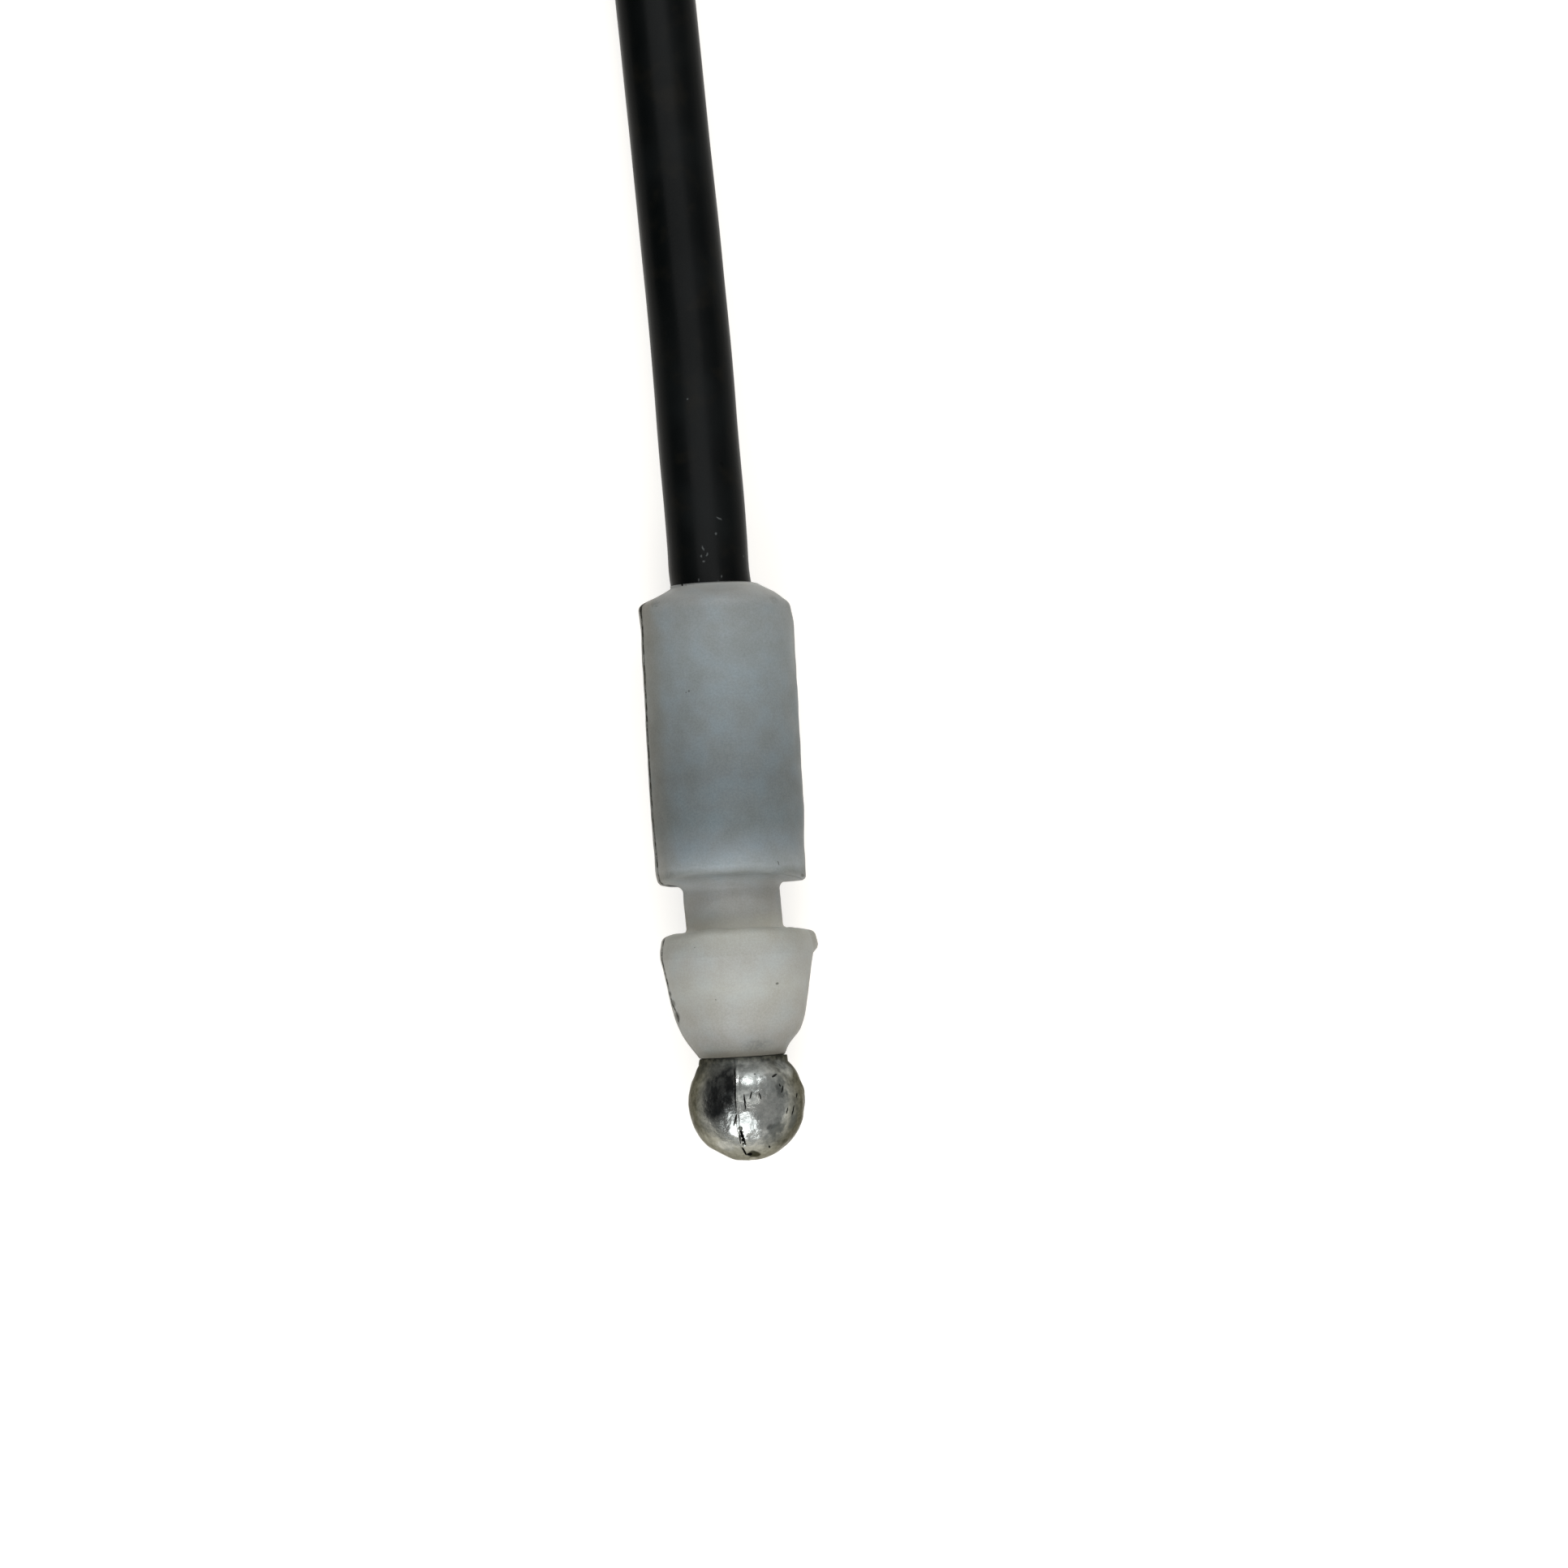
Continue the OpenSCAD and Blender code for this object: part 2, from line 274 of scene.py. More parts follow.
def linear(code):
    """An sRGB hex colour as linear RGBA."""
    parts = [int(code[i:i + 2], 16) / 255 for i in (1, 3, 5)]
    return [p / 12.92 if p <= 0.04045 else ((p + 0.055) / 1.055) ** 2.4 for p in parts] + [1]


def per_metre(mm):
    """A texture's scale for a feature of this size."""
    return 1 / (mm * MM)


def node(tree, kind, inputs=(), stops=(), **settings):
    """Adds a node with its settings and links. Inputs go by name, or as a list in the order of those in
    use. An input is a number, a colour, an output, or a node, which gives its first output in use. A
    colour ramp's stops are (place, sRGB hex)."""
    made = tree.nodes.new("ShaderNode" + kind)
    for key, value in settings.items():
        setattr(made, key, value)
    if isinstance(inputs, dict):
        given = [(made.inputs[name], value) for name, value in inputs.items()]
    else:
        given = zip([socket for socket in made.inputs if socket.enabled], inputs)
    for socket, value in given:
        if isinstance(value, bpy.types.Node):
            value = next(output for output in value.outputs if output.enabled)
        if isinstance(value, bpy.types.NodeSocket):
            tree.links.new(value, socket)
        else:
            socket.default_value = value
    if stops:
        elements = made.color_ramp.elements
        while len(elements) < len(stops):
            elements.new(0.5)
        for element, (place, code) in zip(elements, stops):
            element.position = place
            element.color = linear(code)
    return made


def new_material(name):
    """A material without nodes, and the function that adds them to it."""
    material = bpy.data.materials.new(name)
    material.use_nodes = True
    material.node_tree.nodes.clear()
    return material, partial(node, material.node_tree)


def shaken(add, place, size, reach):
    """Coordinates that are pushed about, so that what is drawn on them gets ragged edges."""
    push = add("TexNoise", [place, per_metre(size), 2.0]).outputs["Color"]
    centred = add("VectorMath", [push, (0.5, 0.5, 0.5)], operation="SUBTRACT")
    scaled = add("VectorMath", [centred, reach * MM], operation="SCALE")
    return add("VectorMath", [place, scaled], operation="ADD")


def spots(add, place, marks, height):
    """The most of several soft-edged spots on top of a part whose height at (x, y) is given, in
    millimetres. A mark is (x, y, half its width, half its length, turn in degrees)."""
    least_depth = 1.0
    most = 0.0
    for x, y, half_width, half_length, turn in marks:
        moved = add("Mapping", {
            "Vector": place, "Location": Vector((x, y, height(x, y))) * MM,
            "Rotation": (0, 0, math.radians(turn)),
            "Scale": Vector((half_width, half_length, max(least_depth, half_width))) * MM},
            vector_type="TEXTURE")
        spot = add("TexGradient", [moved], gradient_type="SPHERICAL").outputs["Fac"]
        most = add("Math", [most, spot], operation="MAXIMUM")
    return most


def ferrule_height(x, y):
    """The height of the ferrule's top at x and y, where the barb narrows towards the tip."""
    radius = BARREL_R - 0.22 * max(-3 - y, 0)
    return math.sqrt(max(radius * radius - x * x, 0))


def jacket_height(x, y):
    """The height of the jacket's top at x, the same all along."""
    return math.sqrt(JACKET_D * JACKET_D / 4 - x * x)


def ball_height(x, y):
    """The height of the ball's upper half at x and y from its centre."""
    return math.sqrt(max(BALL_R * BALL_R - x * x - y * y, 0))


# Pale nicks and dark pits in the jacket by the ferrule: (x, y, half width, half length, turn)
JACKET_NICKS = [(-0.95, 20.25, 0.08, 0.18, 12), (0.46, 20.4, 0.08, 0.16, -20), (0.2, 20.12, 0.14, 0.06, 0),
                (-0.59, 22.2, 0.1, 0.3, 20), (-0.37, 21.8, 0.1, 0.22, -25), (-0.72, 21.75, 0.08, 0.16, 10),
                (-0.59, 21.4, 0.14, 0.12, 0), (0.24, 23.06, 0.12, 0.14, 0), (0.51, 24.0, 0.07, 0.3, 60),
                (1.89, 21.65, 0.08, 0.24, 10), (-1.05, 31.5, 0.1, 0.12, 0)]
JACKET_PITS = [(0.86, 27.4, 0.22, 0.3, 30), (-0.8, 21.9, 0.1, 0.2, 10)]


def extruded_vinyl():
    """Jacket: black extruded vinyl. Nearly black with a dull skin, faint drawn lines along it and, by the
    ferrule, a few pale nicks."""
    material, add = new_material("extruded_black_vinyl")
    place = add("TexCoord").outputs["Object"]
    cloud = add("TexNoise", [place, per_metre(5), 3.0])
    skin = add("ValToRGB", [cloud], [(0.3, "#030505"), (0.5, "#060808"), (0.72, "#0b0e0e")])
    blotch = add("TexNoise", [place, per_metre(1.6), 3.0])
    browned = add("MapRange", [blotch, 0.5, 0.75, 0, 0.5], **SMOOTH)
    skin = add("Mix", [browned, skin, linear("#14120d")], **COLOUR)

    ragged = shaken(add, place, 0.25, 0.15)
    nick = spots(add, ragged, JACKET_NICKS, jacket_height)
    nicked = add("MapRange", [nick, 0.2, 0.7, 0, 0.35], **SMOOTH)
    skin = add("Mix", [nicked, skin, linear("#6d7170")], **COLOUR)
    pit = spots(add, ragged, JACKET_PITS, jacket_height)
    pitted = add("MapRange", [pit, 0.2, 0.6], **SMOOTH)
    skin = add("Mix", [pitted, skin, linear("#020303")], **COLOUR)

    # The die's lines run along the jacket. Both they and the fine grain are coarser than real, to show.
    straight = add("Attribute", attribute_name="straight").outputs["Vector"]
    drawn = add("Mapping", {"Vector": straight, "Scale": (1, 1, 0.02)})
    lines = add("TexNoise", [drawn, per_metre(0.35), 3.0])
    fine = add("TexNoise", [place, per_metre(0.12), 2.0])
    relief = add("Math", [lines, fine], operation="ADD")
    bump = add("Bump", {"Height": relief, "Strength": 0.25, "Distance": 0.015 * MM})
    facing = add("LayerWeight", {"Blend": 0.5}).outputs["Facing"]
    surface = add("BsdfPrincipled", {
        "Base Color": skin, "IOR": 1.45, "Normal": bump,
        "Roughness": add("MapRange", [cloud, 0.3, 0.7, 0.28, 0.38], **SMOOTH),
        "Specular IOR Level": add("MapRange", [facing, 0.0, 0.25, 0.15, 0.04], **SMOOTH)})
    add("OutputMaterial", [surface])
    return material


# Specks in the nylon, chips along its parting line, and faint smudges, given as the jacket's marks are
NEAR_SPECKS = [(2.98, 2.56, 0.06, 0.2, 12), (-1.92, 13.35, 0.09, 0.07, 0), (-2.1, 13.28, 0.06, 0.05, 0),
               (-1.5, 19.42, 0.07, 0.06, 0), (4.46, 1.74, 0.14, 0.2, 35), (-2.42, -2.34, 0.06, 0.06, 0),
               (2.5, -4.82, 0.14, 0.1, 20), (-1.3, -5.6, 0.05, 0.05, 0), (-4.2, -5.09, 0.3, 0.25, 0),
               (-4.0, -5.7, 0.3, 0.35, 0), (-3.8, -6.5, 0.4, 0.45, 15)]
NEAR_SMUDGES = [(3.75, 18.85, 0.5, 0.4, -30), (-3.75, 18.95, 0.4, 0.3, 0), (1.2, -8.6, 1.5, 0.6, 5),
                (-3.9, 2.1, 0.7, 0.5, 0), (3.2, 1.9, 0.9, 0.3, -10)]
FAR_SPECKS = [(-2.4, 4.1, 0.05, 0.16, 40), (1.1, 9.7, 0.08, 0.06, 0), (0.4, 16.8, 0.06, 0.08, 0),
              (1.7, -3.4, 0.08, 0.08, 0)]
FAR_SMUDGES = [(-2.9, 17.9, 0.6, 0.4, 20), (0.9, 3.0, 0.8, 0.3, 0)]

# Tones of the nylon along the axis. The black casing shows through the barrel's wall and darkens it, and
# past the casing's end the solid nylon is paler. The neck is painted paler to offset the shade it lies in
# between the barrel and the barb, and the rear shoulder is painted paler to hide the darker shading of its
# slope: painted light. (place, sRGB hex)
NYLON_TONES_WITH_PAINTED_LIGHT = [
    (TIP_Y, "#999891"), (-8.4, "#aaa9a4"), (-7.2, "#bbbab5"), (-5, "#c5c5c0"), (-3.2, "#bfbfbb"),
    (GROOVE_FRONT + 0.05, "#bfbfb9"), (GROOVE_FRONT + 0.3, "#cecdc6"), (-0.3, "#b8b8b4"), (0.4, "#b2b2af"),
    (GROOVE_REAR, "#abacaa"), (GROOVE_REAR + 0.5, "#9b9e9c"), (2.5, "#afb4b5"), (CASING_END, "#9ba1a3"),
    (5.2, "#8c9394"), (8, "#8c9293"), (11, "#999fa0"), (15, "#a4aaab"), (REAR_Y - 1.5, "#a9adad"),
    (REAR_Y - 0.8, "#b8bab9"), (REAR_Y, "#c9cac8")]


def natural_nylon(offset, specks, smudges):
    """Ferrule: natural nylon 6, injection moulded. Milky and matte, with light that goes a little way in,
    grime along the parting line and a few specks, and painted light: a paler neck and rear shoulder, and a
    painted warm reflection down the barrel's left side."""
    material, add = new_material("natural_nylon")
    place = add("TexCoord").outputs["Object"]
    local = add("Mapping", {"Vector": place, "Location": Vector(offset) * MM}, vector_type="TEXTURE")
    along = add("SeparateXYZ", [shaken(add, local, 2.5, 0.5)]).outputs["Y"]
    share = add("MapRange", [along, TIP_Y * MM, REAR_Y * MM])
    # Painted light: these tones make the neck and the rear shoulder paler
    tone = add("ValToRGB", [share], [((y - TIP_Y) / (REAR_Y - TIP_Y), code) for y, code in NYLON_TONES_WITH_PAINTED_LIGHT])
    cloud = add("TexNoise", [place, per_metre(1.7), 4.0])
    mottle = add("ValToRGB", [cloud], [(0.35, "#77746d"), (0.5, "#81817f"), (0.66, "#848b8e")])
    tone = add("Mix", [0.8, tone, mottle], blend_type="SOFT_LIGHT", **COLOUR)
    across = add("SeparateXYZ", [local]).outputs["X"]
    # Painted reflection: a warm tint down the barrel's left edge, in place of a warm ground that the edge
    # reflects
    behind_groove = add("MapRange", [along, 0.8 * MM, 2.2 * MM], **SMOOTH)
    left = add("MapRange", [across, -3.1 * MM, -4.5 * MM], **SMOOTH)
    painted_warm_reflection = add("Math", [behind_groove, left], operation="MULTIPLY")
    tone = add("Mix", [painted_warm_reflection, tone, linear("#f2eadf")], blend_type="MULTIPLY", **COLOUR)
    # The frosting is drawn coarser than it is, so that it shows
    frost = add("TexNoise", [place, per_metre(0.12), 4.0, 0.8])
    fleck = add("ValToRGB", [frost], [(0.36, "#686868"), (0.64, "#989898")])
    tone = add("Mix", [0.6, tone, fleck], blend_type="SOFT_LIGHT", **COLOUR)

    # Grime along the left parting line, from the barb's side to the rear
    split = add("Mapping", {"Vector": shaken(add, local, 0.4, 0.3), "Rotation": (0, -PARTING, 0)})
    sides = add("SeparateXYZ", [split]).outputs
    off_split = add("Math", [sides["Z"]], operation="ABSOLUTE")
    near_split = add("MapRange", [off_split, 0.3 * MM, 0.1 * MM], **SMOOTH)
    dirt = add("TexNoise", [place, per_metre(0.5), 5.0, 0.75])
    patchy = add("MapRange", [dirt, 0.38, 0.56, 0.25, 0.95], **SMOOTH)
    outer_left = add("MapRange", [sides["X"], -3.3 * MM, -3.6 * MM], **SMOOTH)
    behind_nose = add("MapRange", [along, -7.4 * MM, -6.8 * MM], **SMOOTH)
    outer = add("Math", [outer_left, behind_nose], operation="MULTIPLY")
    grimy = add("Math", [near_split, patchy], operation="MULTIPLY")
    grimy = add("Math", [grimy, outer], operation="MULTIPLY")
    tone = add("Mix", [grimy, tone, linear("#17160e")], **COLOUR)

    speck = spots(add, shaken(add, local, 0.15, 0.12), specks, ferrule_height)
    specked = add("MapRange", [speck, 0.1, 0.5, 0, 0.7], **SMOOTH)
    tone = add("Mix", [specked, tone, linear("#37362e")], **COLOUR)
    smudge = spots(add, shaken(add, local, 0.3, 0.3), smudges, ferrule_height)
    smudged = add("MapRange", [smudge, 0.0, 0.7, 0, 0.4], **SMOOTH)
    dots = add("TexNoise", [local, per_metre(0.2), 3.0])
    dotted = add("MapRange", [dots, 0.38, 0.62, 0.3, 1], **SMOOTH)
    smudged = add("Math", [smudged, dotted], operation="MULTIPLY")
    tone = add("Mix", [smudged, tone, linear("#4c504e")], **COLOUR)
    # Darker at the nose's tip: grime, and painted shade of the gap to the ball's collar
    tip_grime_and_shade = add("MapRange", [along, (TIP_Y + 0.55) * MM, (TIP_Y + 0.02) * MM, 0, 0.75], **SMOOTH)
    tone = add("Mix", [tip_grime_and_shade, tone, linear("#5a564c")], **COLOUR)

    skin = add("TexNoise", [local, per_metre(0.14), 3.0])
    sheen = add("TexNoise", [local, per_metre(2), 2.0])
    surface = add("BsdfPrincipled", {
        "Base Color": tone, "Roughness": add("MapRange", [sheen, 0.3, 0.7, 0.45, 0.6], **SMOOTH),
        "IOR": 1.53, "Specular IOR Level": add("MapRange", [grimy, 0, 1, 0.22, 0.02], **SMOOTH),
        "Subsurface Weight": 0.4, "Subsurface Radius": (1.0, 0.95, 0.85), "Subsurface Scale": 0.6 * MM,
        "Normal": add("Bump", {"Height": skin, "Strength": 0.3, "Distance": 0.02 * MM})})
    add("OutputMaterial", [surface])
    return material


# Marks on the ball, from its centre: (x, y, half width, half length, turn)
BALL_CRACKS = [(-0.62, 1.4, 0.05, 1.3, 0), (-0.66, 0.3, 0.05, 0.9, 2), (-0.09, 0.1, 0.06, 0.62, 3),
               (-0.74, -0.95, 0.07, 0.5, -18), (-0.33, -2.05, 0.09, 0.64, 15), (-0.52, -2.1, 0.06, 0.5, 2),
               (-0.3, -2.95, 0.08, 0.45, 25), (0.0, -3.15, 0.22, 0.12, 0)]
BALL_SCRATCHES = [
    (1.8, 1.61, 0.09, 0.26, -60), (2.24, 0.73, 0.06, 0.3, -12), (2.1, 1.0, 0.06, 0.14, 20),
    (2.46, -0.59, 0.05, 0.26, -15), (2.83, -0.59, 0.05, 0.38, -14), (0.6, 1.76, 0.08, 0.05, 0),
    (0.86, 0.41, 0.07, 0.3, 15), (0.3, 0.5, 0.06, 0.3, -20), (1.26, -2.76, 0.08, 0.1, 0),
    (3.1, 0.3, 0.05, 0.2, -10)]
BALL_DARK_REFLECTION = [(-1.6, 0.9, 2.3, 2.1, -15), (-0.9, 1.6, 1.8, 1.3, 0), (-2.0, -0.1, 1.4, 1.3, 0)]
BALL_DULL = [(1.75, -1.6, 0.6, 0.95, -28), (2.2, 0.9, 0.45, 1.0, 10), (2.8, -1.2, 0.5, 0.8, -20)]
BALL_PALE_SPOTS = [(2.4, 2.0, 1.0, 1.0, 0), (-1.4, -2.5, 1.0, 0.7, 0)]
BALL_SCAR = [(0.34, -3.22, 0.6, 0.42, -10)]


def cast_zinc(centre):
    """Ball: die-cast zinc alloy. Bare grey metal, painted pale on top and dim round its sides as a painted
    reflection, paler in a few spots, with a painted dark reflection beside the seam, grime and painted
    shade at the collar, and black in its cracks and scratches."""
    material, add = new_material("cast_zinc")
    place = add("TexCoord").outputs["Object"]
    local = add("Mapping", {"Vector": place, "Location": Vector(centre) * MM}, vector_type="TEXTURE")
    ragged = shaken(add, local, 0.35, 0.22)
    pushed = shaken(add, local, 0.6, 0.6)

    # Dim all round, paler at the front end, and pale on top and in a few spots. The pale top and dim sides
    # are a painted reflection: the sides are painted dark, as a dim room round the ball would show in them
    cloud = add("TexNoise", [local, per_metre(1.5), 5.0, 0.6])
    # The pale tone, for the painted pale top and for a few pale spots
    worn = add("ValToRGB", [cloud], [(0.32, "#8f918f"), (0.5, "#adaeab"), (0.66, "#c9c9c5")])
    dim = add("ValToRGB", [cloud], [(0.32, "#5c5b54"), (0.6, "#76756d")])
    loose = add("SeparateXYZ", [shaken(add, local, 1.2, 0.6)]).outputs
    slanting = add("Math", [loose["X"], 0.25, loose["Y"]], operation="MULTIPLY_ADD")
    front_end = add("MapRange", [slanting, -1.9 * MM, -2.8 * MM], **SMOOTH)
    dim = add("Mix", [front_end, dim, linear("#a09f96")], **COLOUR)
    painted_pale_top = add("MapRange", [loose["Z"], 1.6 * MM, 3.2 * MM], **SMOOTH)
    # Paler in a few spots
    pale_spot = spots(add, pushed, BALL_PALE_SPOTS, ball_height)
    pale_spot_mask = add("MapRange", [pale_spot, 0.05, 0.6, 0, 0.8], **SMOOTH)
    bright = add("Math", [painted_pale_top, pale_spot_mask], operation="MAXIMUM")
    tone = add("Mix", [bright, dim, worn], **COLOUR)
    fine = add("TexNoise", [local, per_metre(0.3), 4.0, 0.65])
    speckle = add("ValToRGB", [fine], [(0.34, "#636767"), (0.66, "#a7a8a5")])
    tone = add("Mix", [0.9, tone, speckle], blend_type="SOFT_LIGHT", **COLOUR)

    # Painted reflection: dark up to the seam and streaked along the ball, in place of something dark that
    # the ball reflects
    seam_place = add("Mapping", {"Vector": shaken(add, local, 0.5, 0.08), "Rotation": (0, SEAM, 0)})
    off_seam = add("SeparateXYZ", [seam_place]).outputs["X"]
    left = add("MapRange", [off_seam, 0.03 * MM, -0.05 * MM], **SMOOTH)
    dark_reflection_spot = spots(add, ragged, BALL_DARK_REFLECTION, ball_height)
    dark_reflection_mask = add("MapRange", [dark_reflection_spot, 0.08, 0.62], **SMOOTH)
    painted_dark_reflection = add("Math", [dark_reflection_mask, left], operation="MULTIPLY")
    long_place = add("Mapping", {"Vector": local, "Scale": (1, 0.35, 1)})
    streak = add("TexNoise", [long_place, per_metre(0.4), 5.0, 0.7])
    streaks = add("MapRange", [streak, 0.36, 0.56, 0.76, 1], **SMOOTH)
    painted_dark_reflection = add("Math", [painted_dark_reflection, streaks], operation="MULTIPLY")
    painted_dark_reflection = add("Math", [painted_dark_reflection, 0.93], operation="MULTIPLY")
    tone = add("Mix", [painted_dark_reflection, tone, linear("#17191b")], **COLOUR)

    dull = spots(add, shaken(add, local, 0.6, 1.2), BALL_DULL, ball_height)
    dull = add("MapRange", [dull, 0.1, 0.6, 0, 0.75], **SMOOTH)
    tone = add("Mix", [dull, tone, linear("#4a4d4b")], **COLOUR)
    scar = spots(add, pushed, BALL_SCAR, ball_height)
    scar = add("MapRange", [scar, 0.1, 0.5, 0, 0.9], **SMOOTH)
    tone = add("Mix", [scar, tone, linear("#25271f")], **COLOUR)

    # Grime and painted shade at the collar, in the gap under the nylon's tip, and black in the cracks and
    # scratches
    frayed = shaken(add, local, 0.2, 0.07)
    cracks = spots(add, frayed, BALL_CRACKS, ball_height)
    cracked = add("MapRange", [cracks, 0.1, 0.35], **SMOOTH)
    scratches = spots(add, frayed, BALL_SCRATCHES, ball_height)
    scratched = add("MapRange", [scratches, 0.1, 0.35, 0, 0.9], **SMOOTH)
    marked = add("Math", [cracked, scratched], operation="MAXIMUM")
    along = add("SeparateXYZ", [ragged]).outputs["Y"]
    collar_grime_and_shade = add("MapRange", [along, (COLLAR_REACH - 0.45) * MM, (COLLAR_REACH - 0.05) * MM, 0, 0.8],
                       **SMOOTH)
    grime = add("ValToRGB", [fine], [(0.4, "#2c2d28"), (0.6, "#5b5a50")])
    tone = add("Mix", [collar_grime_and_shade, tone, grime], **COLOUR)
    tone = add("Mix", [marked, tone, linear("#0f0f0e")], **COLOUR)

    gloss = add("MapRange", [cloud, 0.35, 0.65, 0.36, 0.17], **SMOOTH)
    by_collar = add("MapRange", [along, 1.6 * MM, 2.2 * MM, 0, 0.8], **SMOOTH)
    dulled = add("Math", [marked, by_collar], operation="MAXIMUM")
    rough = add("Math", [dulled, 0.5, gloss], operation="MULTIPLY_ADD")
    lumps = add("TexNoise", [local, per_metre(0.7), 3.0])
    pitted = add("Math", [lumps, 3.0, fine], operation="MULTIPLY_ADD")
    sunk = add("Math", [marked, 3.5], operation="MULTIPLY")
    relief = add("Math", [pitted, sunk], operation="SUBTRACT")
    bump = add("Bump", {"Height": relief, "Distance": 0.05 * MM,
                        "Strength": add("MapRange", [along, 0.6 * MM, 1.1 * MM, 0.45, 0.2], **SMOOTH)})
    surface = add("BsdfPrincipled", {"Base Color": tone, "Metallic": 1.0, "Roughness": rough,
                                     "Specular Tint": linear("#b4b2ac"), "Normal": bump})
    add("OutputMaterial", [surface])
    return material


def galvanised_steel():
    """Wire and conduit: drawn galvanised steel. Light grey and lightly oiled, with duller grey patches."""
    material, add = new_material("galvanised_steel")
    place = add("TexCoord").outputs["Object"]
    patches = add("TexNoise", [place, per_metre(0.5), 4.0])
    tone = add("ValToRGB", [patches], [(0.3, "#63666a"), (0.5, "#8e9294"), (0.7, "#b4b7b8")])
    rough = add("MapRange", [patches, 0.3, 0.7, 0.42, 0.26], **SMOOTH)
    surface = add("BsdfPrincipled", {"Base Color": tone, "Metallic": 1.0, "Roughness": rough})
    add("OutputMaterial", [surface])
    return material


def extruded_polythene():
    """Liner: natural polythene, extruded. White and waxy."""
    material, add = new_material("extruded_polythene")
    place = add("TexCoord").outputs["Object"]
    cloud = add("TexNoise", [place, per_metre(1.5)])
    tone = add("ValToRGB", [cloud], [(0.3, "#cfcfc8"), (0.7, "#e2e1da")])
    surface = add("BsdfPrincipled", {"Base Color": tone, "Roughness": 0.35, "IOR": 1.51})
    add("OutputMaterial", [surface])
    return material


VINYL = extruded_vinyl()
STEEL = galvanised_steel()
POLYTHENE = extruded_polythene()


# ---------------------------------------------------------------- casing
def swept_tube(name, route, diameter, sides, wall):
    """A round tube along a smooth curve through the route, in millimetres. Gives its mesh and its
    centreline. The attribute straight holds each point's place on the tube as if it were pulled straight,
    in metres."""
    data = bpy.data.curves.new(name, "CURVE")
    data.dimensions = "3D"
    spline = data.splines.new("BEZIER")
    spline.bezier_points.add(len(route) - 1)
    for knot, point in zip(spline.bezier_points, route):
        knot.co = point
        knot.handle_left_type = knot.handle_right_type = "AUTO"
    spline.resolution_u = 6
    data.twist_mode = "MINIMUM"
    curve = bpy.data.objects.new(name, data)
    bpy.context.scene.collection.objects.link(curve)
    line = bpy.data.meshes.new_from_object(curve)
    centreline = [v.co.copy() for v in line.vertices]
    data.bevel_depth = diameter / 2
    data.bevel_resolution = sides // 2 - 2
    bpy.context.view_layer.update()
    mesh = bpy.data.meshes.new_from_object(curve.evaluated_get(bpy.context.evaluated_depsgraph_get()))
    bpy.data.objects.remove(curve)
    bpy.data.curves.remove(data)
    bpy.data.meshes.remove(line)
    mesh.name = name

    along = [0.0]
    for a, b in zip(centreline, centreline[1:]):
        along.append(along[-1] + (b - a).length)
    straight = mesh.attributes.new("straight", "FLOAT_VECTOR", "POINT")
    for i, item in enumerate(straight.data):
        angle = math.tau * (i % sides) / sides
        ring = min(i // sides, len(along) - 1)
        item.vector = Vector((math.cos(angle), math.sin(angle), 0)) * MM * diameter / 2
        item.vector.z = along[ring] * MM
    bm = bmesh.new()
    bm.from_mesh(mesh)
    bmesh.ops.recalc_face_normals(bm, faces=bm.faces)
    bmesh.ops.solidify(bm, geom=bm.faces[:], thickness=wall)
    bmesh.ops.recalc_face_normals(bm, faces=bm.faces)
    bm.to_mesh(mesh)
    bm.free()
    return mesh, centreline


def lean_at_exit(y):
    """How far the casing lies towards -X by the near ferrule. It starts inside the barrel and ends 38 mm
    along."""
    return EXIT_LEAN * smooth_step((y - REAR_Y + 2.2) / 3.6) * smooth_step((38 - y) / 16)


def settle_jacket(mesh):
    """The casing leaves the ferrule a little to one side, and its skin isn't quite even."""
    wave_size = 6
    wave_height = 0.04
    noise.seed_set(7)       # without a seed, noise_vector differs from run to run
    for vert in mesh.vertices:
        if vert.co.x > -10 and vert.co.y < 60:
            vert.co.x -= lean_at_exit(vert.co.y)
        wave = noise.noise_vector(vert.co / wave_size) * wave_height
        vert.co += Vector((wave.x, wave.y, 0)) * smooth_step((vert.co.y - REAR_Y) / 2)


jacket_mesh, jacket_line = swept_tube("jacket", casing_route(), JACKET_D, JACKET_SIDES, JACKET_WALL)
settle_jacket(jacket_mesh)
jacket = new_piece("jacket", jacket_mesh, VINYL, "casing", ("jacket_lead", "jacket_coil", "jacket_tail"))

conduit_mesh, _ = swept_tube("wound_conduit", casing_route(), CONDUIT_D, INNER_TUBE_SIDES, CONDUIT_WALL)
new_piece("wound_conduit", conduit_mesh, STEEL, "casing", ("steel_conduit",))

liner_ends = [Vector((0, LINER_END, 0)), FAR_AT + Vector((0, LINER_END, 0))]
liner_route = liner_ends[:1] + casing_route() + liner_ends[1:]
liner_mesh, _ = swept_tube("liner_tube", liner_route, LINER_D, INNER_TUBE_SIDES, LINER_WALL)
new_piece("liner_tube", liner_mesh, POLYTHENE, "casing", ("liner",))


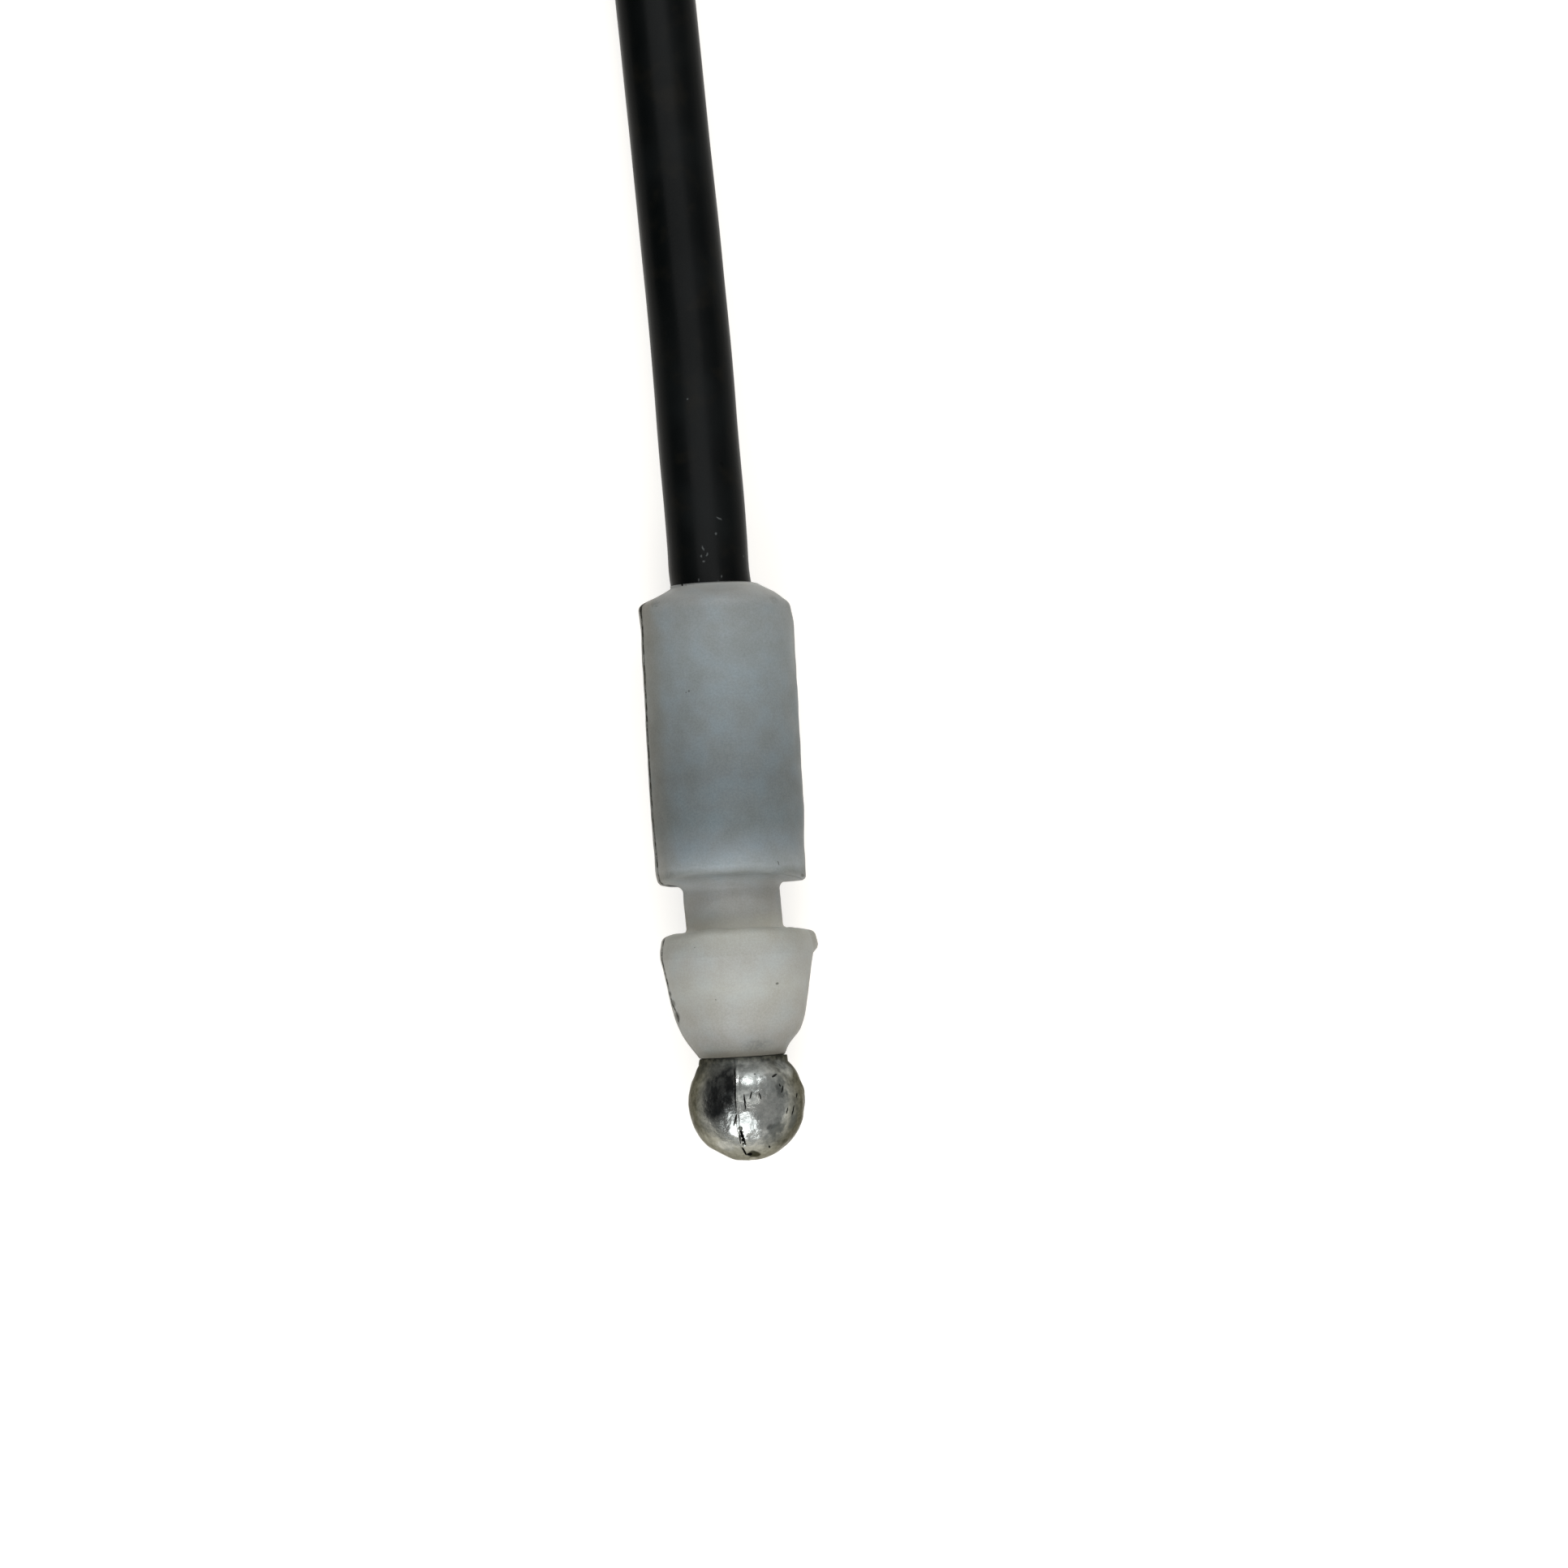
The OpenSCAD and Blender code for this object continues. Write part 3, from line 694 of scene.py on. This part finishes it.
# ---------------------------------------------------------------- ferrules
def ferrule_outline():
    """The ferrule's section: its stepped bore, its nose and barb, the groove, and the bevelled barrel."""
    bore_r = JACKET_D / 2 + BORE_GAP
    passage_r = LINER_D / 2 + BORE_GAP
    corners = [
        (bore_r, CASING_END, 0), (passage_r, CASING_END, 0), (passage_r, TIP_Y + 0.25, 0),
        (passage_r + 0.25, TIP_Y, 0.08), (TIP_D / 2, TIP_Y, 0.2), (3.85, TIP_Y + 1.6, 5),
        (BARB_R, GROOVE_FRONT - 1.5, 0.5), (BARB_R, GROOVE_FRONT, 0.3), (NECK_D / 2, GROOVE_FRONT, 0.4),
        (NECK_D / 2, GROOVE_REAR, 0.45), (BARREL_R, GROOVE_REAR, 0.3),
        (BARREL_R, REAR_Y - REAR_BEVEL, 0.45), (bore_r + 0.3, REAR_Y, 0.2), (bore_r, REAR_Y + 0.2, 0),
        (bore_r, CASING_END, 0)]
    return rounded(corners, 0.25)


def skin_radius(y):
    """A radius inside the ferrule's wall that parts its outer skin from its bores."""
    if abs(y) < GROOVE_REAR:
        return NECK_D / 2 - 0.3
    return JACKET_D / 2 + 0.15 if y > GROOVE_REAR else LINER_D / 2 + 0.6


def soften_shoulder(bm):
    """Blends the barrel's top into its sloping rear end, where the mould has worn round."""
    blended = []
    for vert in bm.verts:
        r, out = off_axis(vert.co)
        if out.z > 0.2 and r > NECK_D / 2 + 0.2 and abs(vert.co.y - REAR_Y + 1) < 1.5:
            blended.append(vert)
    for _ in range(40):
        bmesh.ops.smooth_vert(bm, verts=blended, factor=0.5, use_axis_x=True, use_axis_y=True,
                              use_axis_z=True)


def make_ferrule(name, material, node_name, at, seed):
    """A moulded ferrule, turned and then given what the mould and wear left on it."""
    bm = turned(ferrule_outline())
    knock_back(bm, (BARREL_R, REAR_Y - REAR_BEVEL), -1, 1.4,
               lambda side: 0.24 * smooth_step((side + 0.98) / 0.4) - 0.1)
    knock_back(bm, (BARREL_R, GROOVE_REAR), 1, 1.0, lambda side: 0.13 * smooth_step((0.75 - side) / 0.5))
    knock_back(bm, (BARREL_R, GROOVE_FRONT), -1, 1.2,
               lambda side: 0.16 * smooth_step(2.5 * abs(side) - 0.9))
    soften_shoulder(bm)
    parting = Vector((math.sin(PARTING), 0, math.cos(PARTING)))
    raise_ridge(bm, parting, 0.12, 0.035, skin_radius)
    split = Vector((math.cos(PARTING), 0, -math.sin(PARTING)))
    for vert in bm.verts:
        r, out = off_axis(vert.co)
        if r < skin_radius(vert.co.y):
            # The near ferrule's bore makes room for the casing that leans in it
            if node_name == "near_ferrule" and r > LINER_D:
                vert.co.x -= lean_at_exit(vert.co.y)
            continue
        # The barrel narrows a little towards the groove
        if vert.co.y > GROOVE_REAR and r > NECK_D / 2 + 0.6:
            vert.co -= out * 0.1 * smooth_step((6.5 - vert.co.y) / 3.5)
        # On top, the rear end and the barrel's front face lie further back
        upward = smooth_step(out.z)
        shoulder = smooth_step((vert.co.y - REAR_Y + 3) / 1.9) * smooth_step((r - 2.8) / 1.5)
        vert.co.y += 0.35 * upward * shoulder
        front = mound(vert.co.y, GROOVE_REAR, 1.6) * smooth_step((r - 3.1) / 0.9)
        vert.co.y += 0.45 * upward * front
        # An ear of flash stands out of the barb's right, at the parting plane
        flash = smooth_step(1.6 * (1 - abs(vert.co.y + 2.15) / 1.05))
        flash *= smooth_step(1 - abs(vert.co.dot(parting)) / 0.9)
        vert.co += out * 0.42 * flash * smooth_step(out.dot(split))
        # A chip is out of the barb's left
        chip = mound((vert.co - Vector((-3.9, -6.4, 1.0))).length, 0, 0.8)
        vert.co -= out * 0.14 * chip
        # The barb's rear rim is ragged and lies further back on top
        rim = mound(r, 4.1, 1.2) * mound(vert.co.y, GROOVE_FRONT, 0.7)
        ragged = noise.noise(Vector((out.x, out.z, seed)) * 5)
        vert.co.y += (0.07 * ragged + 0.13 * upward + 0.08) * rim
        # The nose is worn in on its right
        vert.co -= out * 0.18 * mound(vert.co.y, -8.5, 0.9) * smooth_step(1.6 * out.dot(split) - 0.6)
    roughen(bm, 2.4, 0.05, skin_radius, seed)
    roughen(bm, 0.8, 0.02, skin_radius, seed + 9)
    for vert in bm.verts:
        vert.co.x += NOSE_LEAN * smooth_step((GROOVE_REAR - vert.co.y) / 4)
    bmesh.ops.translate(bm, vec=at, verts=bm.verts)
    return new_piece(name, as_mesh(bm, name), material, "casing", (node_name,))


near_at = Vector((0, 0, 0))
make_ferrule("near_ferrule_moulding", natural_nylon(near_at, NEAR_SPECKS, NEAR_SMUDGES), "near_ferrule",
             near_at, 0)
far_ferrule = make_ferrule("far_ferrule_moulding", natural_nylon(FAR_AT, FAR_SPECKS, FAR_SMUDGES),
                           "far_ferrule", FAR_AT, 31)


# ---------------------------------------------------------------- balls
# Flats that rubbing and handling left on the ball: (direction, depth)
BALL_FLATS = [((-0.5, -0.86, 0.05), 0.1), ((0.62, -0.78, 0.1), 0.06), ((0.1, -0.55, 0.83), 0.03),
              ((-0.35, 0.1, 0.93), 0.03), ((0.35, 0.3, 0.88), 0.03), ((0.75, -0.2, 0.62), 0.04)]
FLATTENED = 0.85        # the share by which what stands out over a flat is pressed in
CRACK = [(-0.47, -1.5), (-0.45, -1.75), (-0.4, -2.0), (-0.34, -2.25), (-0.28, -2.5)]    # (x, y) on top
GATE = [(0, 0, 0), (0.3, 0, 0.2), (-0.3, 0, 0.1), (0.2, 0.2, 0.9)]      # (x, back from the front, z)


def wire_side(y):
    """A radius that parts the ball's outer skin from its wire's hole."""
    return LINER_D / 2


def carve(bm, path, width, depth):
    """Cuts a notch into the skin along a few points."""
    near = [edge for edge in bm.edges
            if min((vert.co - p).length for vert in edge.verts for p in path) < 2.5 * width]
    bmesh.ops.subdivide_edges(bm, edges=near, cuts=2, use_grid_fill=True)
    for vert in bm.verts:
        away = min((vert.co - p).length for p in path)
        vert.co -= vert.co.normalized() * depth * smooth_step(1 - away / width)


def make_ball(name, node_name, body, at, seed):
    """A cast ball with its collar, turned and then given its flats, seam, crack and gate scar."""
    collar_angle = math.asin(COLLAR_D / 2 / BALL_R)
    steps = 72
    around = [collar_angle + (math.pi - collar_angle) * k / steps for k in range(steps + 1)]
    reach = COLLAR_REACH + SEAT_GAP - 0.01
    recess = COLLAR_REACH - WIRE_HOLE
    collar = rounded([(0, recess, 0), (WIRE_D / 2, recess, 0), (WIRE_D / 2, reach, 0),
                      (COLLAR_D / 2, reach, 0.06),
                      (COLLAR_D / 2, BALL_R * math.cos(collar_angle), 0)], 0.12, 4)
    outline = collar + [BALL_R * Vector((math.sin(a), math.cos(a))) for a in around[1:]]
    bm = turned(outline)
    for direction, depth in BALL_FLATS:
        facing = Vector(direction).normalized()
        flat = BALL_R - depth
        for vert in bm.verts:
            proud = vert.co.dot(facing) - flat
            if proud > 0:
                vert.co -= facing * proud * FLATTENED
    roughen(bm, 1.3, 0.06, wire_side, seed)
    roughen(bm, 0.45, 0.018, wire_side, seed + 5)
    seam = Vector((math.cos(SEAM), 0, math.sin(SEAM)))
    raise_ridge(bm, seam, 0.09, 0.04, wire_side)
    # The shoulders beside the collar stand out to both sides
    for vert in bm.verts:
        r, out = off_axis(vert.co)
        if r > wire_side(vert.co.y):
            vert.co.x -= 0.2 * mound(vert.co.y, 2.45, 0.8) * smooth_step(-1.5 * out.x)
            vert.co.x += 0.1 * mound(vert.co.y, 2.0, 0.8) * smooth_step(1.5 * out.x)
    carve(bm, [Vector((x, y, ball_height(x, y))) for x, y in CRACK], 0.16, 0.22)
    carve(bm, [Vector((x, -BALL_R + back, z)) for x, back, z in GATE], 0.5, 0.15)
    centre = at + Vector((0, BALL_Y, 0))
    bmesh.ops.translate(bm, vec=centre, verts=bm.verts)
    return new_piece(name, as_mesh(bm, name), cast_zinc(centre), body, (node_name,))


far_ball_at = FAR_AT - Vector((0, STROKE, 0))
make_ball("near_ball_casting", "near_ball", "near_end", BALL_SHIFT, 3)
far_ball = make_ball("far_ball_casting", "far_ball", "far_end", far_ball_at, 47)


# ---------------------------------------------------------------- wire
def laid_strands(name, node_name, body, at):
    """The wire's outer strands. Each is six fine wires laid round a seventh, the other way round."""
    strand_d = WIRE_D / 3 - STRAND_GAP
    strand_r = (WIRE_D - strand_d) / 2
    fine_d = strand_d / 3
    fine_r = fine_d * 0.98
    step_length = 0.35
    start = strand_low.y
    length = strand_high.y - strand_low.y
    steps = round(length / step_length)
    data = bpy.data.curves.new(name, "CURVE")
    data.dimensions = "3D"
    data.bevel_depth = fine_d / 2
    data.bevel_resolution = 1
    data.use_fill_caps = True
    for strand in range(STRANDS):
        for fine in range(7):
            spline = data.splines.new("POLY")
            spline.points.add(steps)
            for k, point in enumerate(spline.points):
                y = length * k / steps
                turn = math.tau * (y / WIRE_LAY + strand / STRANDS)
                out = Vector((math.cos(turn), 0, -math.sin(turn)))
                side = out.cross(Vector((-math.sin(turn) * math.tau * strand_r, WIRE_LAY,
                                         -math.cos(turn) * math.tau * strand_r)).normalized())
                twist = -math.tau * y / STRAND_LAY + math.tau * fine / 6
                off = fine_r if fine < 6 else 0
                place = out * (strand_r + off * math.cos(twist)) + side * off * math.sin(twist)
                point.co = (place + at + Vector((0, start + y, 0))).to_4d()
    curve = bpy.data.objects.new(name, data)
    bpy.context.scene.collection.objects.link(curve)
    mesh = bpy.data.meshes.new_from_object(curve.evaluated_get(bpy.context.evaluated_depsgraph_get()))
    bpy.data.objects.remove(curve)
    bpy.data.curves.remove(data)
    return new_piece(name, mesh, STEEL, body, (node_name,))


laid_strands("near_laid_strands", "near_strands", "near_end", near_at)
far_strands = laid_strands("far_laid_strands", "far_strands", "far_end", far_ball_at)

for node_name in ("near_wire", "far_wire", "inner_wire_run"):
    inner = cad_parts[node_name]
    inner.data.materials.clear()
    inner.data.materials.append(STEEL)


# ---------------------------------------------------------------- floor and light
FLOOR_HALF = 2000
LAMP_COLOUR = "#f6faff"


def seen_directly(add):
    """1 for what the eye, a mirror or a glass shows, and 0 for light that falls on things."""
    paths = add("LightPath").outputs
    seen = add("Math", [paths["Is Camera Ray"], paths["Is Glossy Ray"]], operation="MAXIMUM")
    return add("Math", [seen, paths["Is Transmission Ray"]], operation="MAXIMUM")


def pale_floor():
    """Floor: white board. It shows white but throws back only part of the light, with a little warmth."""
    material, add = new_material("white_board")
    board = add("BsdfDiffuse", {"Color": linear("#b4aea3")})
    glow = add("Emission", {"Color": (1, 1, 1, 1), "Strength": 0.7})
    lit = add("AddShader", [board, glow])
    add("OutputMaterial", [add("MixShader", [seen_directly(add), board, lit])])
    return material


def lay_floor():
    bm = bmesh.new()
    bmesh.ops.create_grid(bm, x_segments=1, y_segments=1, size=FLOOR_HALF)
    bmesh.ops.translate(bm, vec=(0, 0, FLOOR_Z), verts=bm.verts)
    floor = new_piece("floor", as_mesh(bm, "floor"), pale_floor())


def hang_lamp(name, at, size, power):
    data = bpy.data.lights.new(name, "AREA")
    data.shape = "RECTANGLE"
    data.size, data.size_y = (side * MM for side in size)
    data.energy = power
    data.color = linear(LAMP_COLOUR)[:3]
    lamp = bpy.data.objects.new(name, data)
    bpy.context.scene.collection.objects.link(lamp)
    lamp.location = Vector(at) * MM
    lamp.rotation_euler = (-lamp.location).to_track_quat("-Z", "Y").to_euler()


def light_world():
    """A room with white walls and a dimmer ceiling with a bright panel in it. More light comes from the
    right."""
    world = bpy.data.worlds.new("room")
    bpy.context.scene.world = world
    world.use_nodes = True
    world.node_tree.nodes.clear()
    add = partial(node, world.node_tree)
    way = add("SeparateXYZ", [add("TexCoord").outputs["Generated"]]).outputs

    # What is seen of the room, also in a mirror
    by_height = add("MapRange", [way["Z"], 0.05, 0.35, 1.0, 0.4], **SMOOTH)
    by_side = add("MapRange", [way["X"], -0.7, 0.3, 0.52, 1.2], **SMOOTH)
    walls = add("Math", [by_height, by_side], operation="MULTIPLY")
    sideways = add("Math", [way["X"], 0.02], operation="ADD")
    sideways = add("Math", [sideways], operation="ABSOLUTE")
    lengthways = add("Math", [way["Y"], 0.15], operation="SUBTRACT")
    lengthways = add("Math", [lengthways], operation="ABSOLUTE")
    panel_wide = add("MapRange", [sideways, 0.55, 0.45], **SMOOTH)
    panel_long = add("MapRange", [lengthways, 0.15, 0.08], **SMOOTH)
    overhead = add("MapRange", [way["Z"], 0.3, 0.5], **SMOOTH)
    panel = add("Math", [panel_wide, panel_long], operation="MULTIPLY")
    panel = add("Math", [panel, overhead], operation="MULTIPLY")
    shown = add("Mix", [panel, walls, 2.3])

    # What light the room gives
    from_above = add("MapRange", [way["Z"], 0.1, 1.0, 0.16, 1.15], **SMOOTH)
    from_right = add("MapRange", [way["X"], -0.8, 0.6, 0.38, 1.25], **SMOOTH)
    fill = add("Math", [from_above, from_right], operation="MULTIPLY")
    strength = add("Mix", [seen_directly(add), fill, shown])
    room = add("Background", {"Color": (1, 1, 1, 1), "Strength": strength})
    add("OutputWorld", [room])


lay_floor()
hang_lamp("front", (-70, -270, 250), (300, 290), 1.15)
hang_lamp("back", (68, 291, 272), (170, 28), 0.37)
light_world()
bpy.context.scene.view_settings.view_transform = "Standard"
